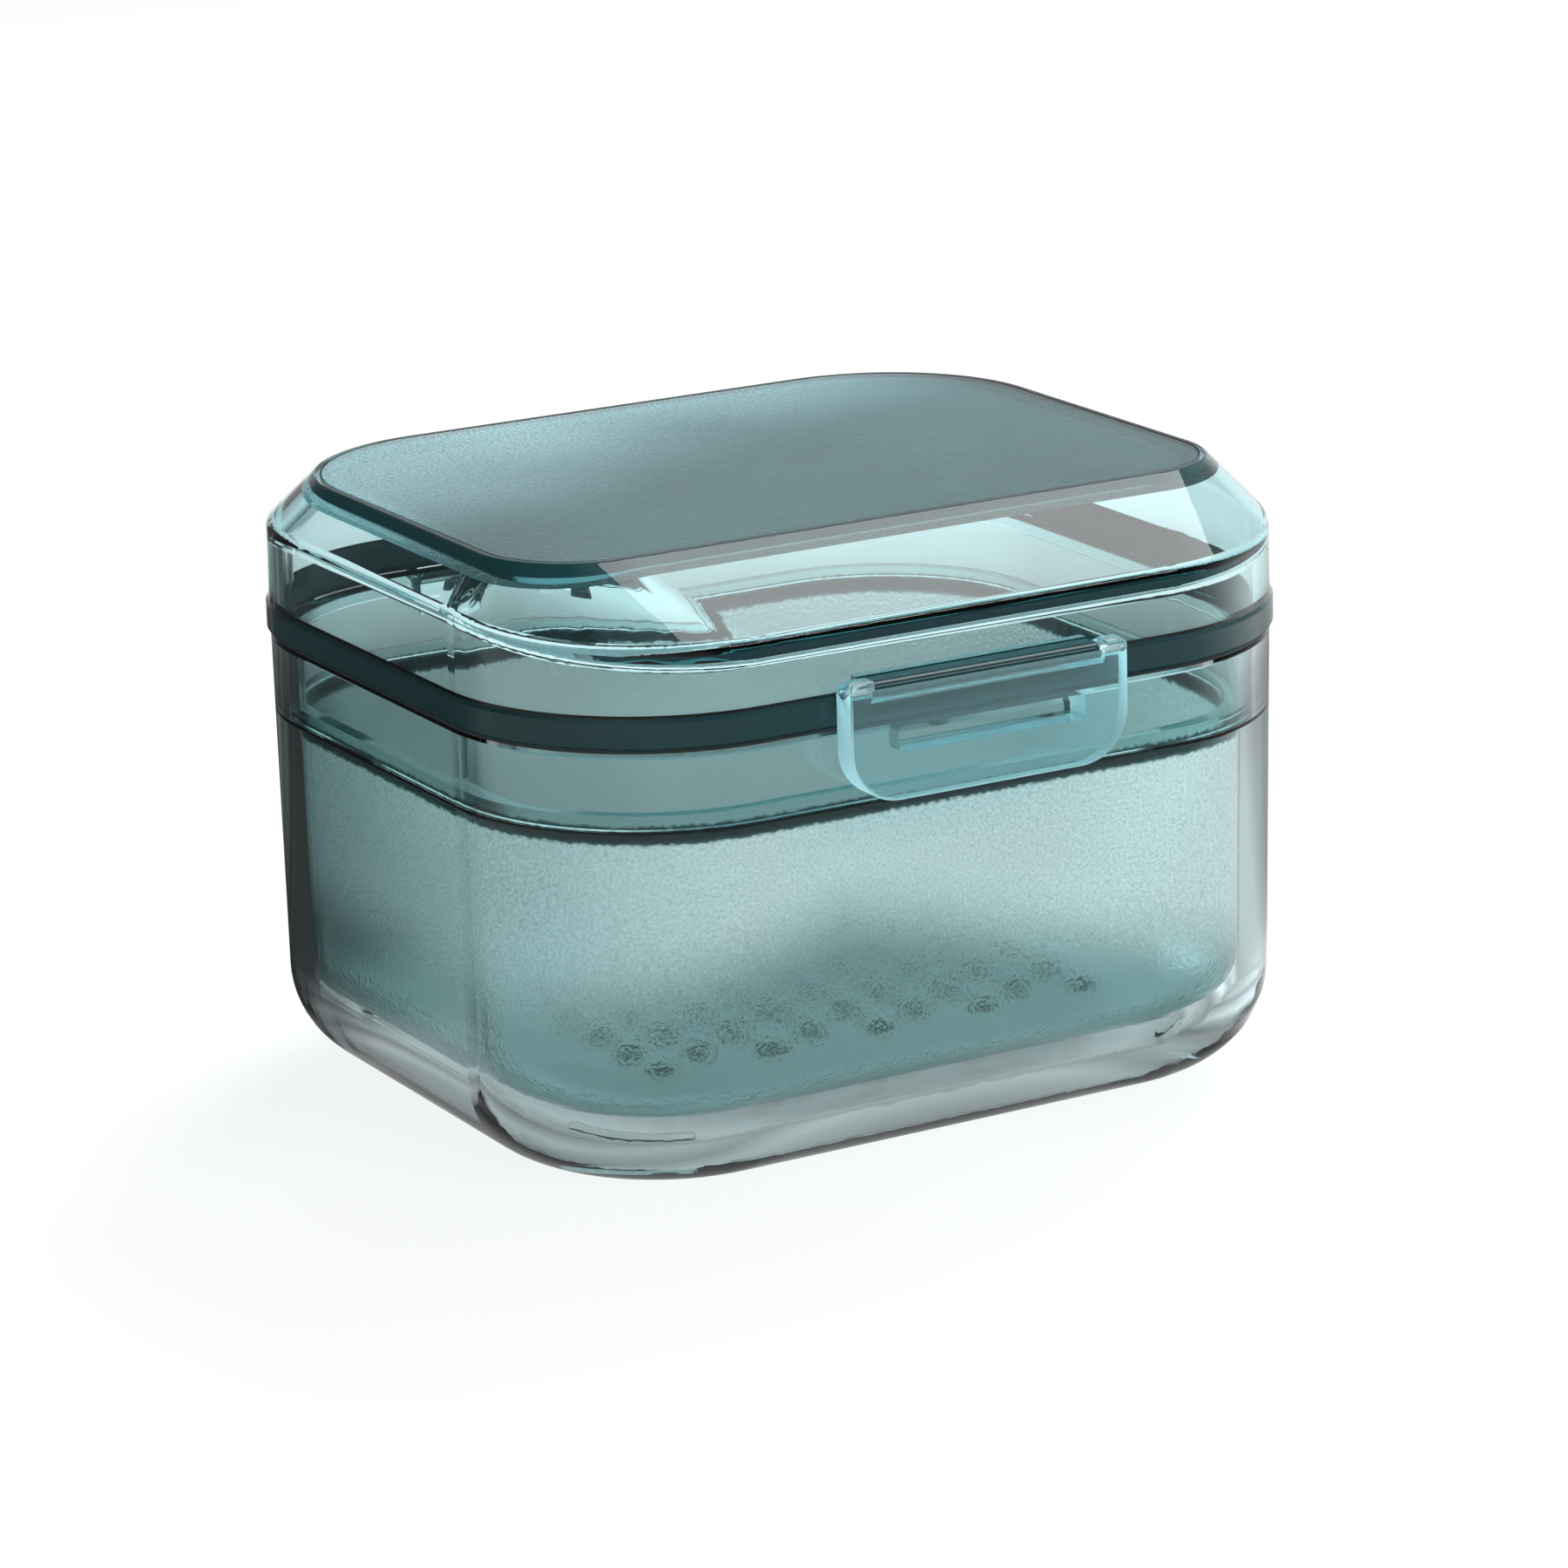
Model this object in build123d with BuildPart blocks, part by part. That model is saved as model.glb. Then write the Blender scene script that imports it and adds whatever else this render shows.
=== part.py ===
from build123d import *
from math import radians, tan
import os

# Hinged soaking case for a dental retainer: a clear outer shell, a drain basket that hangs in
# it, and a latched lid. Millimetres. Front is -Y, up is +Z, and the origin is the centre of
# the underside.

# Outline of the rim, which is the widest level of the case
case_width = 95.0
case_depth = 83.6
corner_radius = 23.5

# Heights above the underside
seam_height = 47.5
seam_gap = 0.4
band_height = 3.2
top_height = 64.6

# Walls narrow away from the rim by this angle, in degrees
wall_draft = 0.5

# Outer shell
shell_inset = 0.4
shell_wall = 3.0
lip_wall = 1.7
shell_floor = 3.3
shell_bottom_radius = 10.4
ledge_depth = 8.4
ledge_round = 0.7
edge_break = 0.35

# Ribs on the shell floor, one arc at each corner
rib_radius = 13.8
rib_span = 52.0
rib_width = 1.3
rib_height = 0.9

# Drain basket
basket_gap = 0.25
basket_wall = 1.4
collar_wall = 1.3
basket_underside = 6.5
basket_floor = 1.5
basket_bottom_radius = 7.2
lip_width = 0.9
lip_height = 1.2
hole_diameter = 3.0
hole_pitch = 7.3
hole_columns = 9
hole_rows = 6

# Lid
lift_clearance = 0.3
lid_inset = 0.35
bevel_wall = 3.2
shoulder_round = 1.4
shoulder_round_inside = 1.0
notch_play = 0.1

# Frosted plate, flush in a recess in the top of the lid and set in from the rim by these amounts
plate_side_inset = 5.7
plate_front_inset = 14.7
plate_back_inset = 7.7
plate_front_radius = 10.1
plate_back_radius = 17.6
plate_thickness = 2.2
plate_round = 0.2
plate_play = 0.1
seat_width = 2.3
land_width = 0.8
land_round = 0.4

# The bevels fall by bevel_drop from the land round the plate while they run out by these widths
bevel_drop = 6.8
bevel_side = 6.2
bevel_front = 13.8
bevel_back = 8.2
bevel_corner_radius = 25.0

# Seal ring between the lid frame and the shell's lip
seal_margin = 0.15
seal_rib_width = 0.8
seal_rib_height = 1.0
seal_play = 0.05

# Rear hinge
knuckle_stand_off = 0.3
hinge_pin_radius = 1.0
pin_chamfer = 0.2
knuckle_radius = 2.2
pin_fit = 0.02
running_fit = 0.06
knuckle_gap = 0.3
middle_knuckle = 8.0
lid_knuckle = 10.4
end_knuckle = 5.0
hinge_web_drop = 5.2
lid_open_angle = 115.0
heel_length = 1.6
heel_clearance = 0.15

# Latch
latch_width = 32.5
latch_drop = 7.2
latch_gap = 0.3
latch_pivot_offset = 1.5
latch_pivot_height = 4.1
latch_ear = 2.55
latch_top = 1.4
latch_front = 1.9
latch_corner = 5.5
latch_top_corner = 0.9
latch_edge_round = 0.4
latch_pin_radius = 0.5
boss_radius = 0.95
boss_gap = 0.25
skin_angle = 15.0

# Slot of the latch and the catch bar on the shell that stands in it
slot_width = 22.0
slot_low = -2.2
slot_high = 0.4
slot_round = 0.5
catch_side_gap = 0.6
catch_low_gap = 0.25
catch_height = 1.6
catch_reach = 1.5
catch_slope = 0.4

front = -case_depth / 2
rear = case_depth / 2
band_low = seam_height + seam_gap
band_top = band_low + band_height
plate_width = case_width - 2 * plate_side_inset
plate_depth = case_depth - plate_front_inset - plate_back_inset
plate_shift = (plate_front_inset - plate_back_inset) / 2
ledge_inset = shell_inset + shell_wall
lip_inset = shell_inset + lip_wall
collar_inset = lip_inset + basket_gap
basket_inset = ledge_inset + basket_gap
mouth_inset = collar_inset - lift_clearance
hinge_offset = knuckle_radius + knuckle_stand_off
hinge_y = rear + hinge_offset
hinge_z = (seam_height + band_low) / 2
latch_y = front - latch_pivot_offset
latch_back = front - latch_gap
latch_face = latch_y - latch_front
latch_ear_radius = latch_pivot_offset - latch_gap
latch_z = seam_height + latch_pivot_height
tongue_top = latch_z + boss_radius
boss_width = latch_width - 2 * (latch_ear + boss_gap)
seal_rib_inset = (mouth_inset - seal_rib_width) / 2

down = Plane(origin=(0, 0, seam_height), x_dir=(1, 0, 0), z_dir=(0, 0, -1))


def outline(inset, mode=Mode.ADD):
    """The case's plan outline, drawn inset inside the rim."""
    RectangleRounded(case_width - 2 * inset, case_depth - 2 * inset, corner_radius - inset, mode=mode)


def plate_outline(inset):
    """The top plate's outline: it sits towards the rear, with smaller corners in front."""
    with BuildSketch() as sketch:
        with Locations((0, plate_shift)):
            Rectangle(plate_width - 2 * inset, plate_depth - 2 * inset)
        fillet(sketch.vertices().group_by(Axis.Y)[0], plate_front_radius - inset)
        fillet(sketch.vertices().group_by(Axis.Y)[-1], plate_back_radius - inset)
    return sketch.sketch


def tub(inset, bottom, bottom_radius):
    """Solid from the seam down to bottom, with the walls' draft and a rounded bottom edge."""
    with BuildPart() as block:
        with BuildSketch(down):
            outline(inset)
        extrude(amount=seam_height - bottom, taper=wall_draft)
        fillet(block.faces().sort_by(Axis.Z)[0].edges(), bottom_radius)
    return block.part


def ring(outer_inset, inner_inset, low, high):
    """Straight-sided ring that follows the outline between two insets."""
    with BuildPart() as loop:
        with BuildSketch(Plane.XY.offset(low)):
            outline(outer_inset)
            outline(inner_inset, Mode.SUBTRACT)
        extrude(amount=high - low)
    return loop.part


def bevel_form(lower):
    """Everything under the lid's sloping faces, moved down by lower."""
    low = top_height - bevel_drop - lower
    run_out_width = plate_width + 2 * (land_width + bevel_side)
    run_out_front = front + plate_front_inset - land_width - bevel_front
    run_out_rear = rear - plate_back_inset + land_width + bevel_back
    with BuildPart() as form:
        with BuildSketch(Plane.XY.offset(low)):
            with Locations((0, (run_out_front + run_out_rear) / 2)):
                RectangleRounded(run_out_width, run_out_rear - run_out_front, bevel_corner_radius)
        with BuildSketch(Plane.XY.offset(top_height - lower)):
            add(plate_outline(-land_width))
        loft(ruled=True)
        extrude(form.faces().sort_by(Axis.Z)[0], amount=low - seam_height)
    return form.part


def lid_block(inset, low, lower, rounding):
    """Lid form above low: drafted walls cut off by the sloping faces, with the shoulder rounded."""
    with BuildPart() as block:
        with BuildSketch(Plane.XY.offset(low)):
            outline(inset)
        extrude(amount=top_height - low, taper=wall_draft)
        add(bevel_form(lower), mode=Mode.INTERSECT)
        above = block.edges().filter_by(lambda edge: edge.bounding_box().min.Z > low)
        fillet(above.filter_by_position(Axis.Z, low + rounding, top_height - lower - bevel_drop / 2),
               rounding)
    return block.part


def knuckle_centres(*spans):
    """X positions of the middles of spans given as (near, far) pairs, on both sides."""
    return [(side * (near + far) / 2, far - near) for near, far in spans for side in (-1, 1)]


middle_end = middle_knuckle / 2
lid_near = middle_end + knuckle_gap
lid_far = lid_near + lid_knuckle
end_near = lid_far + knuckle_gap
end_far = end_near + end_knuckle
shell_knuckles = [(0, middle_knuckle)] + knuckle_centres((end_near, end_far))
lid_knuckles = knuckle_centres((lid_near, lid_far))


# Outer shell
shell_cavity = tub(ledge_inset, shell_floor, shell_bottom_radius - shell_wall)

with BuildPart() as outer_shell:
    add(tub(shell_inset, 0, shell_bottom_radius))
    add(shell_cavity, mode=Mode.SUBTRACT)
    with BuildSketch(down):
        outline(lip_inset)
    extrude(amount=ledge_depth, taper=wall_draft, mode=Mode.SUBTRACT)
    chamfer(outer_shell.faces().sort_by(Axis.Z)[-1].edges(), edge_break)
    ledge = outer_shell.faces().filter_by(Plane.XY).filter_by_position(
        Axis.Z, shell_floor + shell_bottom_radius, seam_height - edge_break)[0]
    fillet(ledge.inner_wires()[0].edges(), ledge_round)
    with BuildSketch(Plane.XY.offset(shell_floor)):
        corner_x = case_width / 2 - corner_radius
        corner_y = case_depth / 2 - corner_radius
        for quarter, (side_x, side_y) in enumerate(((1, 1), (-1, 1), (-1, -1), (1, -1))):
            rib_start = 45 + 90 * quarter - rib_span / 2
            rib_arc = CenterArc((side_x * corner_x, side_y * corner_y), rib_radius, rib_start, rib_span,
                                mode=Mode.PRIVATE)
            SlotArc(rib_arc, rib_width)
    extrude(amount=rib_height)
    with BuildSketch(Plane.YZ):
        wall_y = front + shell_inset
        tip_y = front - catch_reach
        low = seam_height + slot_low + catch_low_gap
        with BuildLine():
            Polyline(
                (wall_y + lip_wall / 2, low),
                (tip_y, low),
                (tip_y, low + catch_height - catch_slope),
                (tip_y + catch_slope, low + catch_height),
                (wall_y + lip_wall / 2, low + catch_height),
                close=True,
            )
        make_face()
    extrude(amount=slot_width / 2 - catch_side_gap, both=True)
    for centre, width in shell_knuckles:
        with BuildSketch(Plane.YZ.offset(centre)):
            with Locations((hinge_y, hinge_z)):
                Circle(knuckle_radius)
            with BuildLine():
                Polyline(
                    (rear - lip_inset / 2, seam_height - edge_break),
                    (hinge_y, seam_height - edge_break),
                    (hinge_y, hinge_z - knuckle_radius),
                    (rear - lip_inset / 2, seam_height - hinge_web_drop),
                    close=True,
                )
            make_face()
            with Locations((hinge_y, hinge_z)):
                Circle(hinge_pin_radius + pin_fit, mode=Mode.SUBTRACT)
        extrude(amount=width / 2, both=True)
outer_shell.part.label = "outer_shell"


# Drain basket
basket_cavity = tub(basket_inset + basket_wall, basket_underside + basket_floor,
                    basket_bottom_radius - basket_wall)

with BuildPart() as drain_basket:
    add(tub(basket_inset, basket_underside, basket_bottom_radius))
    with BuildSketch(down):
        outline(collar_inset)
    extrude(amount=ledge_depth, taper=wall_draft)
    add(basket_cavity, mode=Mode.SUBTRACT)
    with BuildSketch(down):
        outline(collar_inset + collar_wall)
    extrude(amount=ledge_depth - basket_wall, taper=wall_draft, mode=Mode.SUBTRACT)
    add(ring(collar_inset + collar_wall / 2, collar_inset + collar_wall + lip_width,
             seam_height - lip_height, seam_height))
    with BuildSketch(Plane.XY.offset(basket_underside)):
        with HexLocations(hole_pitch / 2, hole_columns, hole_rows, major_radius=False):
            Circle(hole_diameter / 2)
    extrude(amount=basket_floor, mode=Mode.SUBTRACT)
drain_basket.part.label = "drain_basket"


# Lid frame: the dark band, with the latch boss in front and the hinge knuckles behind
with BuildPart() as lid_frame:
    with BuildSketch(Plane.XY.offset(band_low)):
        outline(0)
    extrude(amount=band_height)
    chamfer(lid_frame.faces().filter_by(Axis.Z).edges(), edge_break)
    with BuildSketch(Plane.XY.offset(band_low)):
        outline(mouth_inset)
    extrude(amount=band_height, mode=Mode.SUBTRACT)
    add(ring(seal_rib_inset - seal_play, seal_rib_inset + seal_rib_width + seal_play,
             band_low, band_low + seal_rib_height + seal_play), mode=Mode.SUBTRACT)
    with BuildSketch(Plane.XY.offset(band_top)):
        with Locations((0, front + mouth_inset / 2)):
            Rectangle(boss_width, mouth_inset)
    extrude(amount=tongue_top - band_top)
    with BuildSketch(Plane.YZ):
        with Locations((latch_y, latch_z)):
            Circle(boss_radius)
            Rectangle(latch_pivot_offset + mouth_inset / 2, 2 * boss_radius,
                      align=(Align.MIN, Align.CENTER))
            Circle(latch_pin_radius + pin_fit, mode=Mode.SUBTRACT)
    extrude(amount=boss_width / 2, both=True)
    for centre, width in lid_knuckles:
        with BuildSketch(Plane.YZ.offset(centre)):
            with BuildLine():
                Polyline(
                    (rear - mouth_inset / 4, band_low),
                    (hinge_y, band_low),
                    (hinge_y, hinge_z + knuckle_radius),
                    (rear - mouth_inset / 4, band_top - edge_break),
                    close=True,
                )
            make_face()
            with Locations((hinge_y, hinge_z)):
                Circle(knuckle_radius)
                Rectangle(heel_length, hinge_offset + shell_inset - heel_clearance,
                          rotation=lid_open_angle - 90, align=(Align.MIN, Align.MAX))
                Circle(hinge_pin_radius + running_fit, mode=Mode.SUBTRACT)
        extrude(amount=width / 2, both=True)
lid_frame.part.label = "lid_frame"


# Clear lid shell, with a recess for the plate and an opening inside the recess
lid_cavity = lid_block(mouth_inset, band_top, bevel_wall, shoulder_round_inside)

with BuildPart() as lid_shell:
    add(lid_block(lid_inset, band_top, 0, shoulder_round))
    fillet(lid_shell.faces().sort_by(Axis.Z)[-1].edges(), land_round)
    add(lid_cavity, mode=Mode.SUBTRACT)
    with BuildSketch(Plane.XY.offset(top_height)):
        add(plate_outline(-plate_play))
    extrude(amount=-plate_thickness, mode=Mode.SUBTRACT)
    with BuildSketch(Plane.XY.offset(top_height)):
        add(plate_outline(seat_width))
    extrude(amount=-bevel_drop, mode=Mode.SUBTRACT)
    with BuildSketch(Plane.XY.offset(band_top)):
        with Locations((0, front)):
            Rectangle(boss_width + 2 * notch_play, 4 * mouth_inset)
    extrude(amount=tongue_top + notch_play - band_top, mode=Mode.SUBTRACT)
lid_shell.part.label = "lid_shell"


# Frosted top plate, which lies on the seat of the recess
with BuildPart() as lid_top_plate:
    with BuildSketch(Plane.XY.offset(top_height - plate_thickness)):
        add(plate_outline(0))
    extrude(amount=plate_thickness)
    fillet(lid_top_plate.faces().sort_by(Axis.Z)[-1].edges(), plate_round)
lid_top_plate.part.label = "lid_top_plate"


# Seal ring: a flat band with a rib that sits in the groove of the lid frame
with BuildPart() as seal_ring:
    add(ring(shell_inset + seal_margin, mouth_inset - seal_margin, seam_height, band_low))
    add(ring(seal_rib_inset, seal_rib_inset + seal_rib_width, band_low, band_low + seal_rib_height))
seal_ring.part.label = "seal_ring"


# Pins
with BuildPart() as hinge_pin:
    with BuildSketch(Plane.YZ):
        with Locations((hinge_y, hinge_z)):
            Circle(hinge_pin_radius)
    extrude(amount=end_far - edge_break, both=True)
    chamfer(hinge_pin.edges().filter_by(GeomType.CIRCLE), pin_chamfer)
hinge_pin.part.label = "hinge_pin"

with BuildPart() as latch_pin:
    with BuildSketch(Plane.YZ):
        with Locations((latch_y, latch_z)):
            Circle(latch_pin_radius)
    extrude(amount=latch_width / 2 - edge_break, both=True)
latch_pin.part.label = "latch_pin"


# Latch: a clear plate with two ears round the pin and a slot for the catch bar
with BuildPart() as latch:
    latch_low = seam_height - latch_drop
    with BuildSketch(Plane.YZ):
        with BuildLine():
            Polyline(
                (latch_back, latch_low),
                (latch_back, latch_z),
                (latch_y, latch_z),
                (latch_y, latch_z + latch_top),
                (latch_face, latch_z + latch_top),
                (latch_face, latch_low),
                close=True,
            )
        make_face()
        with Locations((latch_y, latch_z)):
            Circle(latch_ear_radius)
    extrude(amount=latch_width / 2, both=True)
    depth_edges = latch.edges().filter_by(Axis.Y)
    fillet(depth_edges.group_by(Axis.Z)[0], latch_corner)
    fillet(depth_edges.group_by(Axis.Z)[-1], latch_top_corner)
    fillet(latch.faces().sort_by(Axis.Y)[0].edges(), latch_edge_round)
    with BuildSketch(Plane.YZ):
        clear_radius = boss_radius + boss_gap
        beyond = latch_front + latch_top
        with BuildLine():
            Polyline(
                (latch_y, latch_z),
                (latch_y - beyond, latch_z + beyond * tan(radians(skin_angle))),
                (latch_y - beyond, latch_z + beyond),
                (latch_y + beyond, latch_z + beyond),
                (latch_y + beyond, latch_z - clear_radius),
                (latch_y, latch_z - clear_radius),
                close=True,
            )
        make_face()
        with Locations((latch_y, latch_z)):
            Circle(clear_radius)
    extrude(amount=boss_width / 2 + boss_gap, both=True, mode=Mode.SUBTRACT)
    with BuildSketch(Plane.YZ):
        with Locations((latch_y, latch_z)):
            Circle(latch_pin_radius + running_fit)
    extrude(amount=latch_width / 2, both=True, mode=Mode.SUBTRACT)
    with BuildSketch(Plane.XZ.offset(-latch_back)):
        with Locations((0, seam_height + (slot_low + slot_high) / 2)):
            RectangleRounded(slot_width, slot_high - slot_low, slot_round)
    extrude(amount=latch_back - latch_face, mode=Mode.SUBTRACT)
latch.part.label = "latch"


os.makedirs("parts", exist_ok=True)
for piece in (outer_shell, drain_basket, lid_frame, lid_shell, lid_top_plate, seal_ring,
              hinge_pin, latch_pin, latch):
    export_step(piece.part, f"parts/{piece.part.label}.step")
    print(piece.part.label, len(piece.part.solids()), round(piece.part.volume, 1))
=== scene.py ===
import bpy
from math import log, pi
from mathutils import Matrix, Vector

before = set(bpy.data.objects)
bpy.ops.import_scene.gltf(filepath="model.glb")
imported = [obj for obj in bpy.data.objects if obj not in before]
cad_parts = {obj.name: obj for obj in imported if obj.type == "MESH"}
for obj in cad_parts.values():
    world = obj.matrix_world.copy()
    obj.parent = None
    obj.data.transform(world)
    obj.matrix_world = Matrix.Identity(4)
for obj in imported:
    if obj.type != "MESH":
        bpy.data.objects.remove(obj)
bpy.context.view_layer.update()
scene = bpy.context.scene
MM = 0.001
WHITE = (1.0, 1.0, 1.0)


# Camera, at the photograph's place and framing
def look(position, right, up, forward, lens):
    """position is in millimetres, and the three directions are the camera's own."""
    data = bpy.data.cameras.new("camera")
    data.sensor_width = 36.0
    data.lens = lens
    data.clip_start, data.clip_end = 0.01, 10.0
    camera = bpy.data.objects.new("camera", data)
    scene.collection.objects.link(camera)
    axes = Matrix((right, up, -Vector(forward))).transposed()
    camera.matrix_world = Matrix.Translation(Vector(position) * MM) @ axes.to_4x4()
    scene.camera = camera


look(position=(-302.39, -531.81, 206.21), right=(0.8644, -0.5022, -0.0244),
     up=(0.1598, 0.2283, 0.9604), forward=(0.4767, 0.8341, -0.2776), lens=136.42)


# Helpers for nodes
def new_material(name):
    material = bpy.data.materials.new(name)
    material.use_nodes = True
    tree = material.node_tree
    tree.nodes.clear()
    return material, tree


def node(tree, kind, **settings):
    """A node with its settings, or the values of its inputs, where _ in a name stands for a space."""
    made = tree.nodes.new(kind)
    for key, value in settings.items():
        if hasattr(made, key):
            setattr(made, key, value)
        else:
            made.inputs[key.replace("_", " ")].default_value = value
    return made


def feed(tree, socket, value):
    """Give an input a number, or link it."""
    if isinstance(value, float):
        socket.default_value = value
    else:
        tree.links.new(value, socket)


def maths(tree, operation, *values):
    made = node(tree, "ShaderNodeMath", operation=operation)
    for place, value in enumerate(values):
        feed(tree, made.inputs[place], value)
    return made.outputs[0]


def map_range(tree, value, source=(0.0, 1.0), target=(0.0, 1.0), smooth=False):
    """The value carried from one range to the other, and held at its ends."""
    made = node(tree, "ShaderNodeMapRange", interpolation_type="SMOOTHSTEP" if smooth else "LINEAR")
    made.inputs["From Min"].default_value, made.inputs["From Max"].default_value = source
    made.inputs["To Min"].default_value, made.inputs["To Max"].default_value = target
    tree.links.new(value, made.inputs["Value"])
    return made.outputs["Result"]


def mixed(tree, share, first, second):
    """The first shader, with a share of the second."""
    made = node(tree, "ShaderNodeMixShader")
    feed(tree, made.inputs[0], share)
    tree.links.new(first, made.inputs[1])
    tree.links.new(second, made.inputs[2])
    return made.outputs[0]


def tinted(tree, one, other):
    """Two colours multiplied."""
    both = node(tree, "ShaderNodeMix", data_type="RGBA", blend_type="MULTIPLY")
    both.inputs["Factor"].default_value = 1.0
    tree.links.new(one, both.inputs[6])
    tree.links.new(other, both.inputs[7])
    return both.outputs[2]


def ramp(tree, factor, stops):
    made = node(tree, "ShaderNodeValToRGB")
    elements = made.color_ramp.elements
    elements[0].position, elements[1].position = stops[0][0], stops[-1][0]
    elements[0].color, elements[1].color = (*stops[0][1], 1), (*stops[-1][1], 1)
    for place, colour in stops[1:-1]:
        elements.new(place).color = (*colour, 1)
    tree.links.new(factor, made.inputs["Fac"])
    return made.outputs["Color"]


def object_coords(tree, scale=(1, 1, 1)):
    coords = node(tree, "ShaderNodeTexCoord")
    mapping = node(tree, "ShaderNodeMapping")
    mapping.inputs["Scale"].default_value = scale
    tree.links.new(coords.outputs["Object"], mapping.inputs["Vector"])
    return mapping.outputs["Vector"]


def axes_of(tree, vector):
    """The X, Y and Z of a vector."""
    parts = node(tree, "ShaderNodeSeparateXYZ")
    tree.links.new(vector, parts.inputs[0])
    return parts.outputs[0], parts.outputs[1], parts.outputs[2]


def noise(tree, vector, scale, detail=2.0):
    made = node(tree, "ShaderNodeTexNoise", Scale=scale, Detail=detail, Roughness=0.5)
    tree.links.new(vector, made.inputs["Vector"])
    return made.outputs["Fac"]


def bump(tree, height, strength, distance):
    made = node(tree, "ShaderNodeBump", Strength=strength, Distance=distance)
    tree.links.new(height, made.inputs["Height"])
    return made.outputs["Normal"]


def face_share(tree, attribute):
    """What the mesh attribute says of a face, from 0 to 1."""
    return node(tree, "ShaderNodeAttribute", attribute_name=attribute).outputs["Fac"]


def seen_by(tree, *kinds):
    """1 for the named kinds of ray, such as Camera."""
    path = node(tree, "ShaderNodeLightPath")
    result = path.outputs[f"Is {kinds[0]} Ray"]
    for kind in kinds[1:]:
        result = maths(tree, "MAXIMUM", result, path.outputs[f"Is {kind} Ray"])
    return result


# Patterns of the materials. Heights and places are in millimetres. A speckle is the scale of its noise
# and the range that the noise is carried to.
# Painted shadow: a dark band on the basket under its step.
STEP_SHADOW_SPAN = (36.4, 40.4)
STEP_SHADOW_TONE = (0.008, 0.035, 0.04)
STEP_SHADOW_NOISE = 1500.0
STEP_SHADOW_GRAIN = 0.8
# Painted light on the basket: its scatter grows towards the top, so that the upper front is bright and
# the lower part dark.
PAINTED_LIGHT_HEIGHTS = (22.0, 33.5)
PAINTED_LIGHT_SHARES = (0.04, 0.78)
PAINTED_LIGHT_MIDDLE = -14.0
PAINTED_LIGHT_FALL = 0.25
PAINTED_LIGHT_FRONT = 20.0
PAINTED_LIGHT_REAR_SHARE = 0.2
HAZE_SPECKLE = (3000.0, 0.4, 1.6)
# Painted sheen on the top plate: its scatter is most at the back left, in place of a soft reflection
# there.
SHEEN_REACH = 38.0
SHEEN_SHARES = (0.04, 0.3)
SHEEN_SLANT = -0.4
SHEEN_PATCHES = (30.0, 0.2, 1.8)
CLOUD_SPECKLE = (2600.0, -0.2, 2.2)


def in_mm(values):
    return [value * MM for value in values]


def speckle(tree, coords, scale, low, high):
    return map_range(tree, noise(tree, coords, scale, 1.0), target=(low, high))


def painted_step_shadow(tree, coords):
    """White, but dark teal in a band of painted shadow under the basket's step, with grainy edges."""
    height = axes_of(tree, coords)[2]
    rough_edge = noise(tree, coords, STEP_SHADOW_NOISE)
    grainy = maths(tree, "MULTIPLY_ADD", rough_edge, STEP_SHADOW_GRAIN * MM, height)
    share = map_range(tree, grainy, in_mm(STEP_SHADOW_SPAN))
    stops = [(0.32, WHITE), (0.4, STEP_SHADOW_TONE), (0.75, STEP_SHADOW_TONE), (0.83, WHITE)]
    return ramp(tree, share, stops)


def haze_and_painted_light(tree, coords):
    """Share of scattered light on the basket, graded as painted light that makes the upper front bright
    and the lower part dark. It grows with the height, sooner towards both ends of the front, and the rear
    has less of it."""
    x, y, z = axes_of(tree, coords)
    aside = maths(tree, "ABSOLUTE", maths(tree, "ADD", x, -PAINTED_LIGHT_MIDDLE * MM))
    lifted = maths(tree, "MULTIPLY_ADD", aside, PAINTED_LIGHT_FALL, z)
    rise = map_range(tree, lifted, in_mm(PAINTED_LIGHT_HEIGHTS), PAINTED_LIGHT_SHARES, smooth=True)
    front = map_range(tree, y, in_mm((PAINTED_LIGHT_FRONT, -PAINTED_LIGHT_FRONT)), (PAINTED_LIGHT_REAR_SHARE, 1.0))
    painted_light_share = maths(tree, "MULTIPLY", rise, front)
    return maths(tree, "MULTIPLY", painted_light_share, speckle(tree, coords, *HAZE_SPECKLE))


def painted_sheen(tree, coords):
    """Share of scattered light on the top plate, graded as a painted sheen in place of a soft reflection:
    most at the back left and least in front, in soft patches with a fine grain."""
    x, y, _ = axes_of(tree, coords)
    aslant = maths(tree, "MULTIPLY_ADD", x, SHEEN_SLANT, y)
    back = map_range(tree, aslant, (0.0, SHEEN_REACH * MM), SHEEN_SHARES, smooth=True)
    patchy = maths(tree, "MULTIPLY", back, speckle(tree, coords, *SHEEN_PATCHES))
    return maths(tree, "MULTIPLY", patchy, speckle(tree, coords, *CLOUD_SPECKLE))


# Materials
PLASTIC_IOR = 1.46
POLISHED = 0.05
DRIFT_SCALE = 38.0
SMEAR_SCALE = 120.0
# Grazing angles over which the clear parts darken, as painted shade.
EDGE_SHADE_FROM, EDGE_SHADE_TO = 0.72, 0.97
# Painted shade: a dark finish laid on faces where shade falls, in the basket's holes, on the lid's recess
# wall and on the top plate's sides.
PAINTED_SHADE_TONE = (0.015, 0.055, 0.06)
PAINTED_SHADE_SHARE = 0.92


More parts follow.
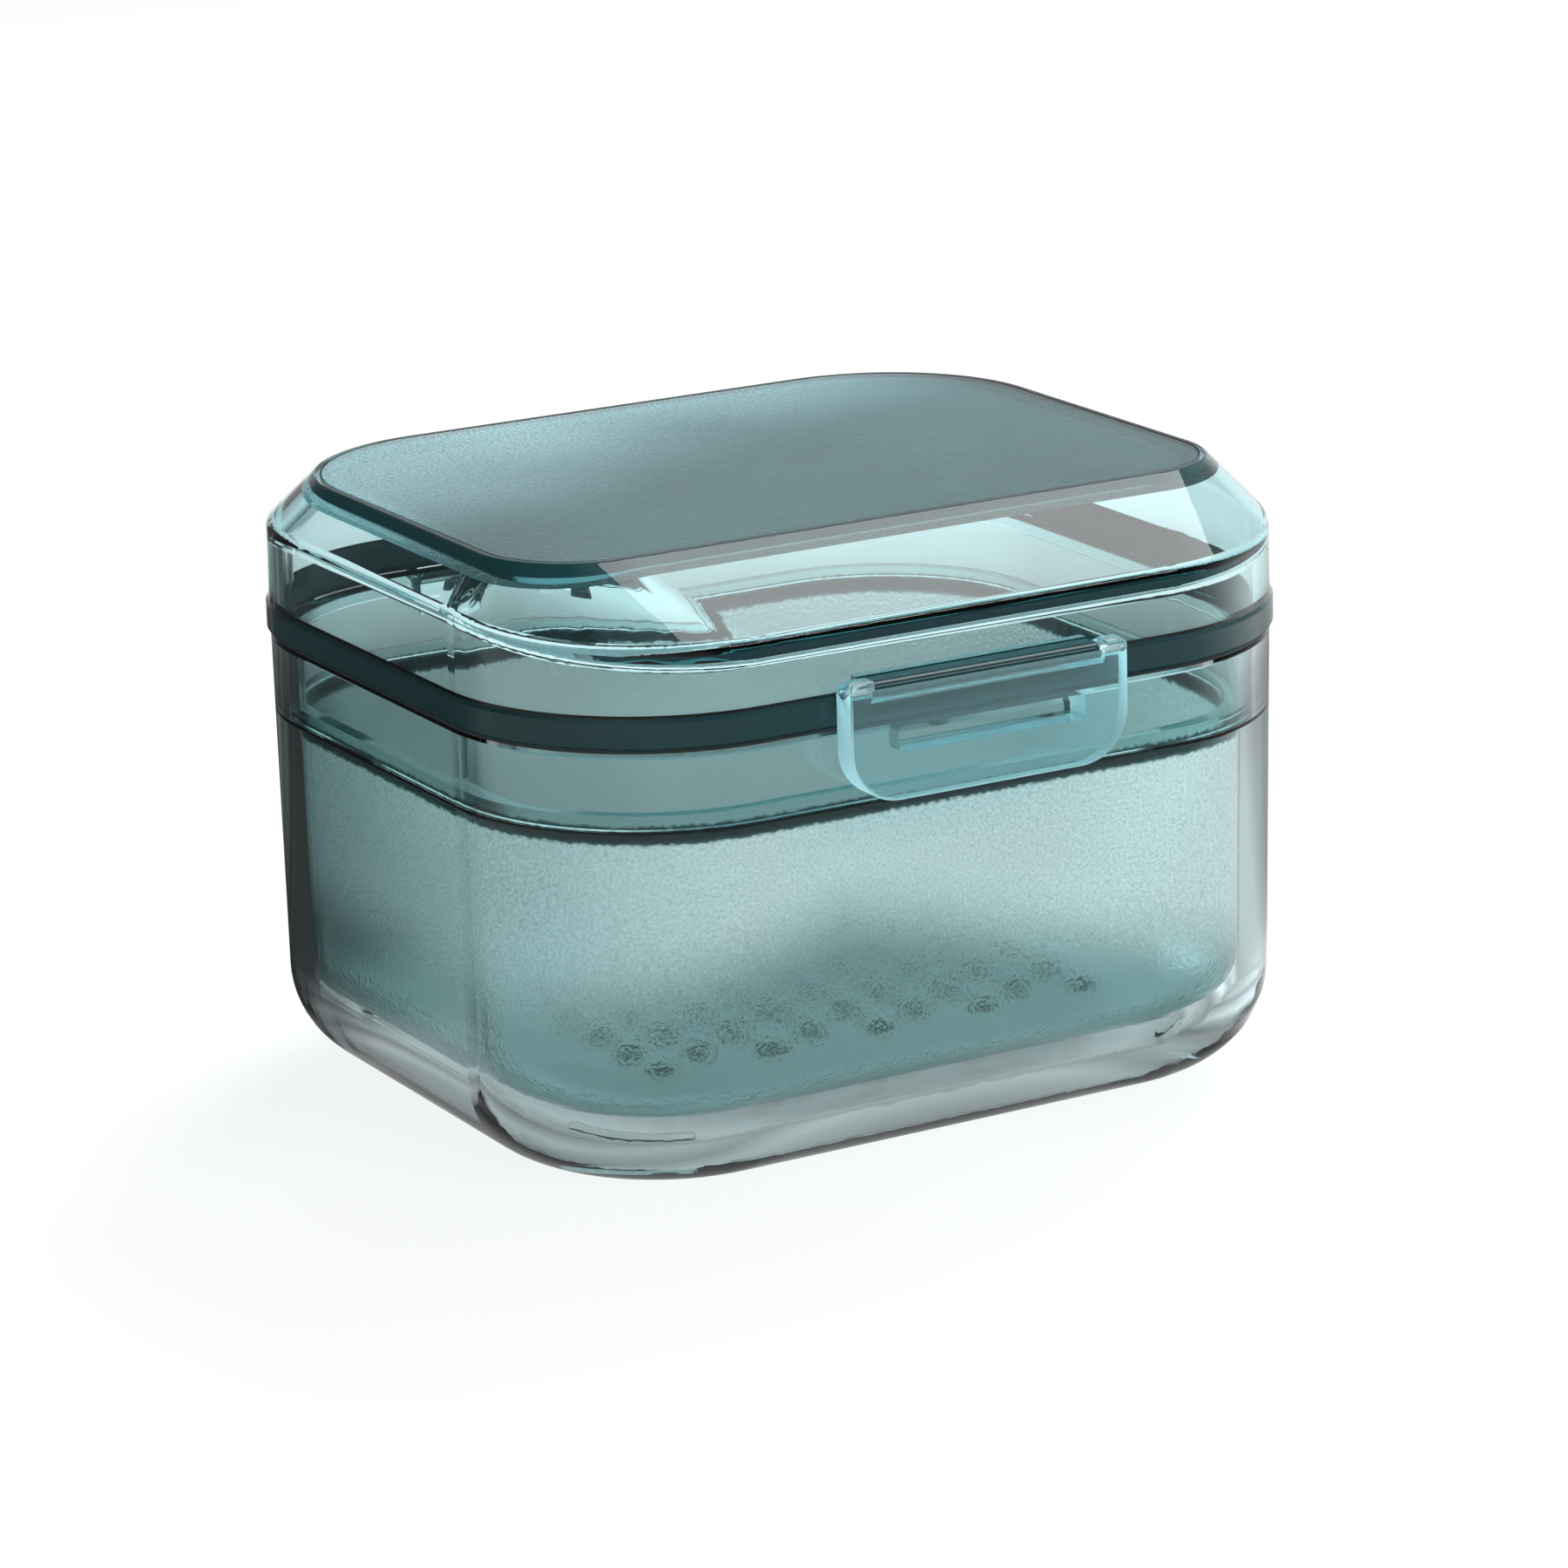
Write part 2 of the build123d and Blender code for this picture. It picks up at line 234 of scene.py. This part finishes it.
def plastic(name, tints, rough, transmission=1.0, grain=None, absorb=None, lets_light=None, outline=None,
            scatter=None, step_shadowed=False, frost_and_glow_where=None, shade_painted_where=None):
    """A moulded plastic. tints are two that it drifts between, and rough its low and high roughness.
    grain is (scale, strength, distance) of a fine bump. absorb is what is left of white light after one
    millimetre of it. lets_light is the tint in which lamps pass its faces. outline is its painted dark
    tint
    where it is seen edge on, which stands in for shade at its edges. scatter is (share, colour,
    back_share):
    the share of light that its faces scatter, as a number or a pattern, in what colour, and how much of
    that goes back; its patterns paint light and sheen. step_shadowed adds a painted shadow, a dark band
    under the basket's step. frost_and_glow_where names the mesh attribute that is 1 on faces with grain
    and scatter
    and 0 on polished ones: the basket's frosted faces and the latch's painted glow. shade_painted_where
    names the one that is 1 on faces with painted shade."""
    material, tree = new_material(name)
    coords = object_coords(tree)
    frosted = face_share(tree, frost_and_glow_where) if frost_and_glow_where else None
    line = painted_step_shadow(tree, coords) if step_shadowed else None

    drift = noise(tree, coords, DRIFT_SCALE, 3.0)
    colour = ramp(tree, drift, [(0.3, tints[0]), (0.7, tints[1])])
    # Painted shadow under the basket's step, in the colour and in the scatter.
    if step_shadowed:
        colour = tinted(tree, colour, line)
    # Painted shade: darker where a face is seen at a grazing angle, in place of the dark surroundings
    # seen through the clear edges.
    if outline:
        facing = node(tree, "ShaderNodeLayerWeight", Blend=0.5).outputs["Facing"]
        stops = [(EDGE_SHADE_FROM, WHITE), (EDGE_SHADE_TO, outline)]
        colour = tinted(tree, colour, ramp(tree, facing, stops))
    roughness = map_range(tree, noise(tree, coords, SMEAR_SCALE, 4.0), target=rough)
    if frost_and_glow_where:
        roughness = maths(tree, "MAXIMUM", maths(tree, "MULTIPLY", roughness, frosted), POLISHED)
    shader = node(tree, "ShaderNodeBsdfPrincipled", IOR=PLASTIC_IOR, Transmission_Weight=transmission)
    tree.links.new(colour, shader.inputs["Base Color"])
    tree.links.new(roughness, shader.inputs["Roughness"])
    if grain:
        scale, strength, distance = grain
        height = noise(tree, coords, scale)
        if frost_and_glow_where:
            height = maths(tree, "MULTIPLY", height, frosted)
        tree.links.new(bump(tree, height, strength, distance), shader.inputs["Normal"])
    surface = shader.outputs["BSDF"]

    # The scattered share is partly real frosting and partly painted light, sheen and glow, where a
    # pattern or mask grades it.
    if scatter:
        share, milk_and_glow_tint, back_share = scatter
        if callable(share):
            share = share(tree, coords)
        if frost_and_glow_where:
            share = maths(tree, "MULTIPLY", frosted, share)
        if step_shadowed:
            share = maths(tree, "MULTIPLY", share, line)
        through = node(tree, "ShaderNodeBsdfTranslucent", Color=(*milk_and_glow_tint, 1))
        back = node(tree, "ShaderNodeBsdfDiffuse", Color=(*milk_and_glow_tint, 1))
        milky_and_painted_light = mixed(tree, back_share, through.outputs[0], back.outputs[0])
        surface = mixed(tree, share, surface, milky_and_painted_light)
    # Painted shade on the marked faces.
    if shade_painted_where:
        dark = node(tree, "ShaderNodeBsdfDiffuse", Color=(*PAINTED_SHADE_TONE, 1))
        share = maths(tree, "MULTIPLY", face_share(tree, shade_painted_where), PAINTED_SHADE_SHARE)
        surface = mixed(tree, share, surface, dark.outputs[0])
    if lets_light:
        clear = node(tree, "ShaderNodeBsdfTransparent", Color=(*lets_light, 1))
        surface = mixed(tree, seen_by(tree, "Shadow", "Diffuse"), surface, clear.outputs[0])
    out = node(tree, "ShaderNodeOutputMaterial")
    tree.links.new(surface, out.inputs["Surface"])

    if absorb:
        loss = [-log(left) / MM for left in absorb]
        density = max(loss) * 1.05
        tone = [1 - part / density for part in loss]
        depth = node(tree, "ShaderNodeVolumeAbsorption", Density=density, Color=(*tone, 1))
        tree.links.new(depth.outputs[0], out.inputs["Volume"])
    return material


def drawn_steel(name):
    """Steel wire with fine lines along it."""
    material, tree = new_material(name)
    coords = object_coords(tree, (1, 40, 40))
    shader = node(tree, "ShaderNodeBsdfPrincipled", Metallic=1.0)
    stops = [(0.3, (0.5, 0.51, 0.52)), (0.7, (0.68, 0.69, 0.7))]
    tree.links.new(ramp(tree, noise(tree, coords, 60.0, 4.0), stops), shader.inputs["Base Color"])
    roughness = map_range(tree, noise(tree, coords, 90.0), target=(0.2, 0.34))
    tree.links.new(roughness, shader.inputs["Roughness"])
    out = node(tree, "ShaderNodeOutputMaterial")
    tree.links.new(shader.outputs[0], out.inputs["Surface"])
    return material


NEAR_WHITE = ((0.985, 0.99, 0.99), WHITE)
GLASSY = (0.0, 0.01)
steel = drawn_steel("pin_steel")
finishes = {
    "outer_shell": plastic(
        "clear_shell", NEAR_WHITE, GLASSY, absorb=(0.966, 0.986, 0.987), lets_light=(0.96, 0.97, 0.97),
        outline=(0.12, 0.16, 0.17)),
    "lid_shell": plastic(
        "clear_lid", NEAR_WHITE, GLASSY, absorb=(0.9, 0.966, 0.97), lets_light=(0.95, 0.97, 0.97),
        outline=(0.12, 0.18, 0.19), shade_painted_where="painted_shade_seat"),
    "drain_basket": plastic(
        "frosted_basket", ((0.94, 0.96, 0.96), (0.98, 0.99, 0.99)), (0.1, 0.14),
        grain=(2200.0, 0.35, 0.0002), absorb=(0.83, 0.935, 0.935), lets_light=(0.75, 0.8, 0.8),
        scatter=(haze_and_painted_light, (0.92, 0.925, 0.92), 0.55), step_shadowed=True, frost_and_glow_where="frosted",
        shade_painted_where="painted_shade_hole_wall"),
    "lid_top_plate": plastic(
        "frosted_plate", ((0.86, 0.9, 0.9), (0.94, 0.97, 0.97)), (0.2, 0.25),
        grain=(2600.0, 0.4, 0.0002), absorb=(0.6, 0.81, 0.83), lets_light=(0.7, 0.76, 0.77),
        scatter=(painted_sheen, (0.5, 0.72, 0.75), 0.8), shade_painted_where="edge"),
    "lid_frame": plastic(
        "teal_band", ((0.006, 0.026, 0.029), (0.01, 0.034, 0.038)), (0.08, 0.14), transmission=0.0),
    "seal_ring": plastic(
        "seal_rubber", ((0.01, 0.014, 0.015), (0.02, 0.024, 0.025)), (0.5, 0.6), transmission=0.0),
    # The latch's scatter is a painted glow on its outline and a faint one on its faces.
    "latch": plastic(
        "latch_clear", NEAR_WHITE, GLASSY, absorb=(0.93, 0.985, 0.99), lets_light=(0.95, 0.98, 0.98),
        scatter=(0.9, (0.62, 0.94, 1.0), 0.5), frost_and_glow_where="painted_glow_rim"),
    "hinge_pin": steel,
    "latch_pin": steel,
}
for name, material in finishes.items():
    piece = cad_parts[name]
    for place in range(len(piece.data.materials)):
        piece.material_slots[place].material = material


# Faces that the materials treat apart: frosted faces, and faces with painted shade and painted glow.
# Heights and places are in millimetres.
BASKET_STEP = 39.0
HOLE_HEIGHTS = (6.5, 8.0)
HOLE_FIELD = (34.0, 27.0)
LATCH_SIDE = 15.6
LATCH_CORNERS = 45.0
LATCH_PIN_FOOT = 49.8
# Faint painted glow on the latch's other faces.
LATCH_FACE_GLOW_SHARE = 0.08
RECESS_CENTRE_Y = 3.5
RECESS_FLOOR = 62.4


def mark(name, attribute, share):
    """Give each face of a node an attribute, by its middle and its normal."""
    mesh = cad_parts[name].data
    layer = mesh.attributes.new(attribute, "FLOAT", "FACE")
    for face in mesh.polygons:
        layer.data[face.index].value = share(face.center, face.normal)


def frosted_face(middle, normal):
    """The basket is frosted outside and below its step, and smooth inside and on its collar."""
    outward = normal.x * middle.x + normal.y * middle.y > 0
    level = abs(normal.z) > 0.5
    return middle.z < BASKET_STEP * MM and (outward or level)


def painted_shade_hole_wall(middle, normal):
    """The walls of the holes in the basket's floor, which get painted shade."""
    low, high = in_mm(HOLE_HEIGHTS)
    reach_x, reach_y = in_mm(HOLE_FIELD)
    upright = abs(normal.z) < 0.1
    return low < middle.z < high and upright and abs(middle.x) < reach_x and abs(middle.y) < reach_y


def painted_glow_latch_rim(middle, normal):
    """The latch gets a painted glow on its outline below its pin, and a faint painted glow on its other
    faces.
    """
    on_outline = abs(middle.x) > LATCH_SIDE * MM or middle.z < LATCH_CORNERS * MM
    below_pin = middle.z < LATCH_PIN_FOOT * MM
    sideways = abs(normal.y) < 0.75
    return 1.0 if sideways and on_outline and below_pin else LATCH_FACE_GLOW_SHARE


def painted_shade_recess_wall(middle, normal):
    """The wall of the lid's recess, round the top plate, which gets painted shade."""
    inward = normal.x * middle.x + normal.y * (middle.y - RECESS_CENTRE_Y * MM) < 0
    upright = abs(normal.z) < 0.3
    return inward and upright and middle.z > RECESS_FLOOR * MM


def painted_shade_plate_edge(middle, normal):
    """All but the top and the bottom of the plate: its sides, which get painted shade."""
    return abs(normal.z) < 0.7


mark("drain_basket", "frosted", frosted_face)
mark("drain_basket", "painted_shade_hole_wall", painted_shade_hole_wall)
mark("latch", "painted_glow_rim", painted_glow_latch_rim)
mark("lid_shell", "painted_shade_seat", painted_shade_recess_wall)
mark("lid_top_plate", "edge", painted_shade_plate_edge)


# The studio, in metres. Brightness goes by turn in degrees clockwise from the rear, by elevation in
# degrees, and on the floor by distance. It differs for what is reflected and what shows through.
HALF_TURN = [(-75, 0.85), (-60, 0.4), (-45, 0.13), (-4, 0.13), (4, 0.4), (19, 0.42), (21, 0.5),
             (35, 0.55), (50, 1.0), (75, 1.0)]
WHOLE_TURN = sorted([((turn + half + 180) % 360 - 180, v) for turn, v in HALF_TURN for half in (0, 180)])
REFLECTED_TURNS = [(-180, 0.27)] + WHOLE_TURN + [(180, 0.27)]
THROUGH_TURNS = [(-180, 0.5), (-105, 0.6), (-70, 0.7), (-61, 0.22), (-45, 0.1), (-15, 0.1), (-13, 0.25),
                 (-10, 0.25), (-8, 0.1), (-1, 0.14), (5, 1.05), (19, 1.1), (21, 1.25), (35, 1.25),
                 (50, 1.1), (80, 1.1), (92, 1.8), (105, 1.8), (135, 0.6), (180, 0.5)]
REFLECTED_HEIGHTS = [(-90, 1.1), (-5, 1.3), (2, 1.3), (10, 1.1), (20, 0.55), (35, 0.44), (60, 0.33),
                     (90, 0.44)]
THROUGH_HEIGHTS = [(-90, 1.0), (0, 1.0), (25, 1.0), (45, 0.6), (60, 0.35), (90, 0.6)]
# Painted shadow on the floor as seen through the object: dark out to about 0.2 m, with narrow painted
# bright bands that show as streaks in its thick bottom.
FLOOR_PAINTED_RINGS = [(0.032, 0.36), (0.038, 0.6), (0.042, 0.6), (0.0435, 0.3), (0.0465, 0.3), (0.0475, 1.0),
               (0.0485, 1.0), (0.0495, 0.28), (0.052, 0.28), (0.053, 1.0), (0.0545, 1.0), (0.056, 0.4),
               (0.058, 0.3), (0.06, 0.6), (0.075, 0.33), (0.14, 0.33), (0.18, 0.27), (0.25, 0.8)]
FLOOR_SIZE = 3.0
FLOOR_DROP = 0.0002
FLOOR_COLOUR = (0.8, 0.81, 0.81)
FLOOR_GLOW = 1.15
FLOOR_PALED = 0.85
UNDER_TONE = (0.8, 0.81, 0.82)
UNDER_REACH = (0.04, 0.055)
LAMP_AIM = (0.0, 0.0, 0.03)


def by_turn(tree, vector, turns):
    """Brightness for a direction or a place, by turns."""
    x, y, _ = axes_of(tree, vector)
    share = map_range(tree, maths(tree, "ARCTAN2", x, y), (-pi, pi))
    return ramp(tree, share, [((turn + 180) / 360, (v, v * 1.01, v * 1.02)) for turn, v in turns])


def by_height(tree, vector, heights):
    """Brightness for a direction, by its elevation in degrees."""
    rise = maths(tree, "ARCSINE", axes_of(tree, vector)[2])
    share = map_range(tree, rise, (-pi / 2, pi / 2))
    return ramp(tree, share, [((degrees + 90) / 180, (v, v, v)) for degrees, v in heights])


def floor_material():
    """Pale floor. The camera sees it nearly white, with the object's shadow. Through the object and in
    reflections it is toned by turn and by distance, and by distance alone under the object. The distance
    tone is a painted shadow, dark round and under the object, with narrow painted bright bands that show
    as streaks in the object's thick bottom."""
    material, tree = new_material("floor_white")
    coords = node(tree, "ShaderNodeTexCoord").outputs["Object"]
    distance = node(tree, "ShaderNodeVectorMath", operation="LENGTH")
    tree.links.new(coords, distance.inputs[0])
    far = distance.outputs["Value"]
    painted_rings = ramp(tree, far, [(reach, (v, v * 1.02, v * 1.02)) for reach, v in FLOOR_PAINTED_RINGS])
    turned = node(tree, "ShaderNodeMix", data_type="RGBA")
    tree.links.new(map_range(tree, far, UNDER_REACH), turned.inputs["Factor"])
    turned.inputs[6].default_value = (*UNDER_TONE, 1)
    tree.links.new(by_turn(tree, coords, THROUGH_TURNS), turned.inputs[7])
    glow = node(tree, "ShaderNodeEmission", Strength=FLOOR_GLOW)
    tree.links.new(tinted(tree, turned.outputs[2], painted_rings), glow.inputs["Color"])
    lit = node(tree, "ShaderNodeBsdfDiffuse", Color=(*FLOOR_COLOUR, 1))
    white = node(tree, "ShaderNodeEmission")
    toned = mixed(tree, seen_by(tree, "Transmission", "Glossy"), lit.outputs[0], glow.outputs[0])
    paled = maths(tree, "MULTIPLY", seen_by(tree, "Camera"), FLOOR_PALED)
    out = node(tree, "ShaderNodeOutputMaterial")
    tree.links.new(mixed(tree, paled, toned, white.outputs[0]), out.inputs["Surface"])
    return material


def lay_floor():
    data = bpy.data.meshes.new("floor")
    reach = FLOOR_SIZE / 2
    corners = [(-reach, -reach, 0), (reach, -reach, 0), (reach, reach, 0), (-reach, reach, 0)]
    data.from_pydata(corners, [], [(0, 1, 2, 3)])
    data.materials.append(floor_material())
    floor = bpy.data.objects.new("floor", data)
    floor.location.z = -FLOOR_DROP
    scene.collection.objects.link(floor)


def softbox(name, place, size, power, seen=False):
    """A soft lamp turned to the object. Only a seen one shows in reflections."""
    data = bpy.data.lights.new(name, "AREA")
    data.shape = "RECTANGLE"
    data.size, data.size_y = size
    data.energy = power
    lamp = bpy.data.objects.new(name, data)
    lamp.location = place
    lamp.visible_camera = lamp.visible_transmission = False
    lamp.visible_glossy = seen
    lamp.rotation_mode = "QUATERNION"
    lamp.rotation_quaternion = (Vector(LAMP_AIM) - Vector(place)).to_track_quat("-Z", "Y")
    scene.collection.objects.link(lamp)


def surround():
    """The world. It has one set of tones for reflections and light, and one for what shows through the
    object. The camera itself sees plain white."""
    world = bpy.data.worlds.new("studio")
    scene.world = world
    world.use_nodes = True
    tree = world.node_tree
    tree.nodes.clear()
    direction = node(tree, "ShaderNodeTexCoord").outputs["Generated"]
    tones = []
    for turns, heights in ((REFLECTED_TURNS, REFLECTED_HEIGHTS), (THROUGH_TURNS, THROUGH_HEIGHTS)):
        tone = node(tree, "ShaderNodeBackground")
        colour = tinted(tree, by_turn(tree, direction, turns), by_height(tree, direction, heights))
        tree.links.new(colour, tone.inputs["Color"])
        tones.append(tone.outputs[0])
    toned = mixed(tree, seen_by(tree, "Transmission"), *tones)
    white = node(tree, "ShaderNodeBackground")
    out = node(tree, "ShaderNodeOutputWorld")
    tree.links.new(mixed(tree, seen_by(tree, "Camera"), toned, white.outputs[0]), out.inputs["Surface"])


lay_floor()
softbox("top", (0.36, 0.1, 0.69), (0.45, 0.45), 2.5, seen=True)
softbox("front", (0.28, -0.6, 0.5), (0.5, 0.2), 4.8)
softbox("key", (0.433, 0.364, 0.57), (0.25, 0.25), 8.5)
softbox("strip", (0.2, -0.55, 0.55), (0.6, 0.05), 1.0, seen=True)
surround()
scene.view_settings.view_transform = "Standard"
